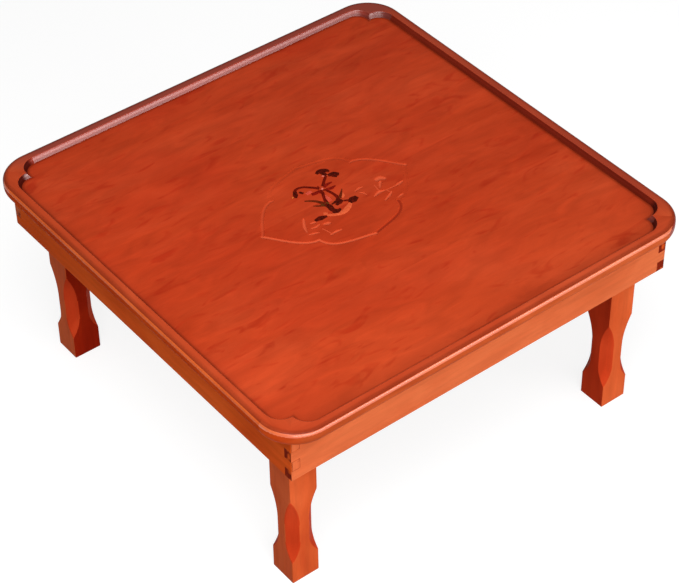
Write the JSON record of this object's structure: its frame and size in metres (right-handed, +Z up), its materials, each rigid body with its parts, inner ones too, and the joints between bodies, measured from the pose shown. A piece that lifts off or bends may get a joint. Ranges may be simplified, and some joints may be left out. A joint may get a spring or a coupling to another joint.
{
  "type": "kang table",
  "caption": "Low square red-lacquered table with a raised tray rim, finger-jointed apron and shaped legs that fold flat under the top.",
  "frame": {"origin": "on the floor under the middle of the top", "axes": "+Z up out of the tray, +X along the front and back aprons to the right seen from the front, +Y from the front to the back"},
  "size_m": [0.6, 0.6, 0.288],
  "materials": {
    "tray_lacquer": "orange-red lacquer over streaky wood grain, satin, with a shallow carved medallion and a dark painted flower spray",
    "rim_lacquer": "red-brown lacquer, satin, rubbed lighter along the edges",
    "red_lacquer": "orange-red lacquer over wood grain, satin, dark on the end grain",
    "plain_wood": "planed softwood, unfinished",
    "zinc_steel": "zinc-plated sheet steel, dull",
    "rivet_steel": "plain steel, turned, dull",
    "screw_steel": "zinc-plated steel with a yellowish tint"
  },
  "bodies": {
    "table": {"rim_left": "rim_lacquer", "rim_back": "rim_lacquer", "rim_right": "rim_lacquer", "rim_front": "rim_lacquer", "top_panel": "tray_lacquer", "apron_left": "red_lacquer", "apron_back": "red_lacquer", "apron_right": "red_lacquer", "apron_front": "red_lacquer", "hinge_bracket_front_left": "zinc_steel", "hinge_bracket_back_left": "zinc_steel", "hinge_bracket_back_right": "zinc_steel", "hinge_bracket_front_right": "zinc_steel", "pivot_pin_front_left": "rivet_steel", "pivot_pin_back_left": "rivet_steel", "pivot_pin_back_right": "rivet_steel", "pivot_pin_front_right": "rivet_steel", "pivot_washers": "rivet_steel", "mounting_block_front_left": "plain_wood", "mounting_block_back_left": "plain_wood", "mounting_block_back_right": "plain_wood", "mounting_block_front_right": "plain_wood", "batten_left": "plain_wood", "batten_right": "plain_wood", "glue_blocks": "plain_wood", "bracket_screws": "screw_steel", "batten_screws": "screw_steel"},
    "folding_leg_front_left": {"leg_front_left": "red_lacquer"},
    "folding_leg_back_left": {"leg_back_left": "red_lacquer"},
    "folding_leg_back_right": {"leg_back_right": "red_lacquer"},
    "folding_leg_front_right": {"leg_front_right": "red_lacquer"}
  },
  "joints": [
    {"name": "fold_front_left", "type": "hinge", "parent": "table", "child": "folding_leg_front_left", "pos_m": [-0.244, -0.2325, 0.2387], "axis": [1, 0, 0], "range_deg": [0, 90]},
    {"name": "fold_back_left", "type": "hinge", "parent": "table", "child": "folding_leg_back_left", "pos_m": [-0.2325, 0.244, 0.2387], "axis": [0, -1, 0], "range_deg": [0, 90]},
    {"name": "fold_back_right", "type": "hinge", "parent": "table", "child": "folding_leg_back_right", "pos_m": [0.244, 0.2325, 0.2387], "axis": [-1, 0, 0], "range_deg": [0, 90]},
    {"name": "fold_front_right", "type": "hinge", "parent": "table", "child": "folding_leg_front_right", "pos_m": [0.2325, -0.244, 0.2387], "axis": [0, 1, 0], "range_deg": [0, 90]}
  ]
}
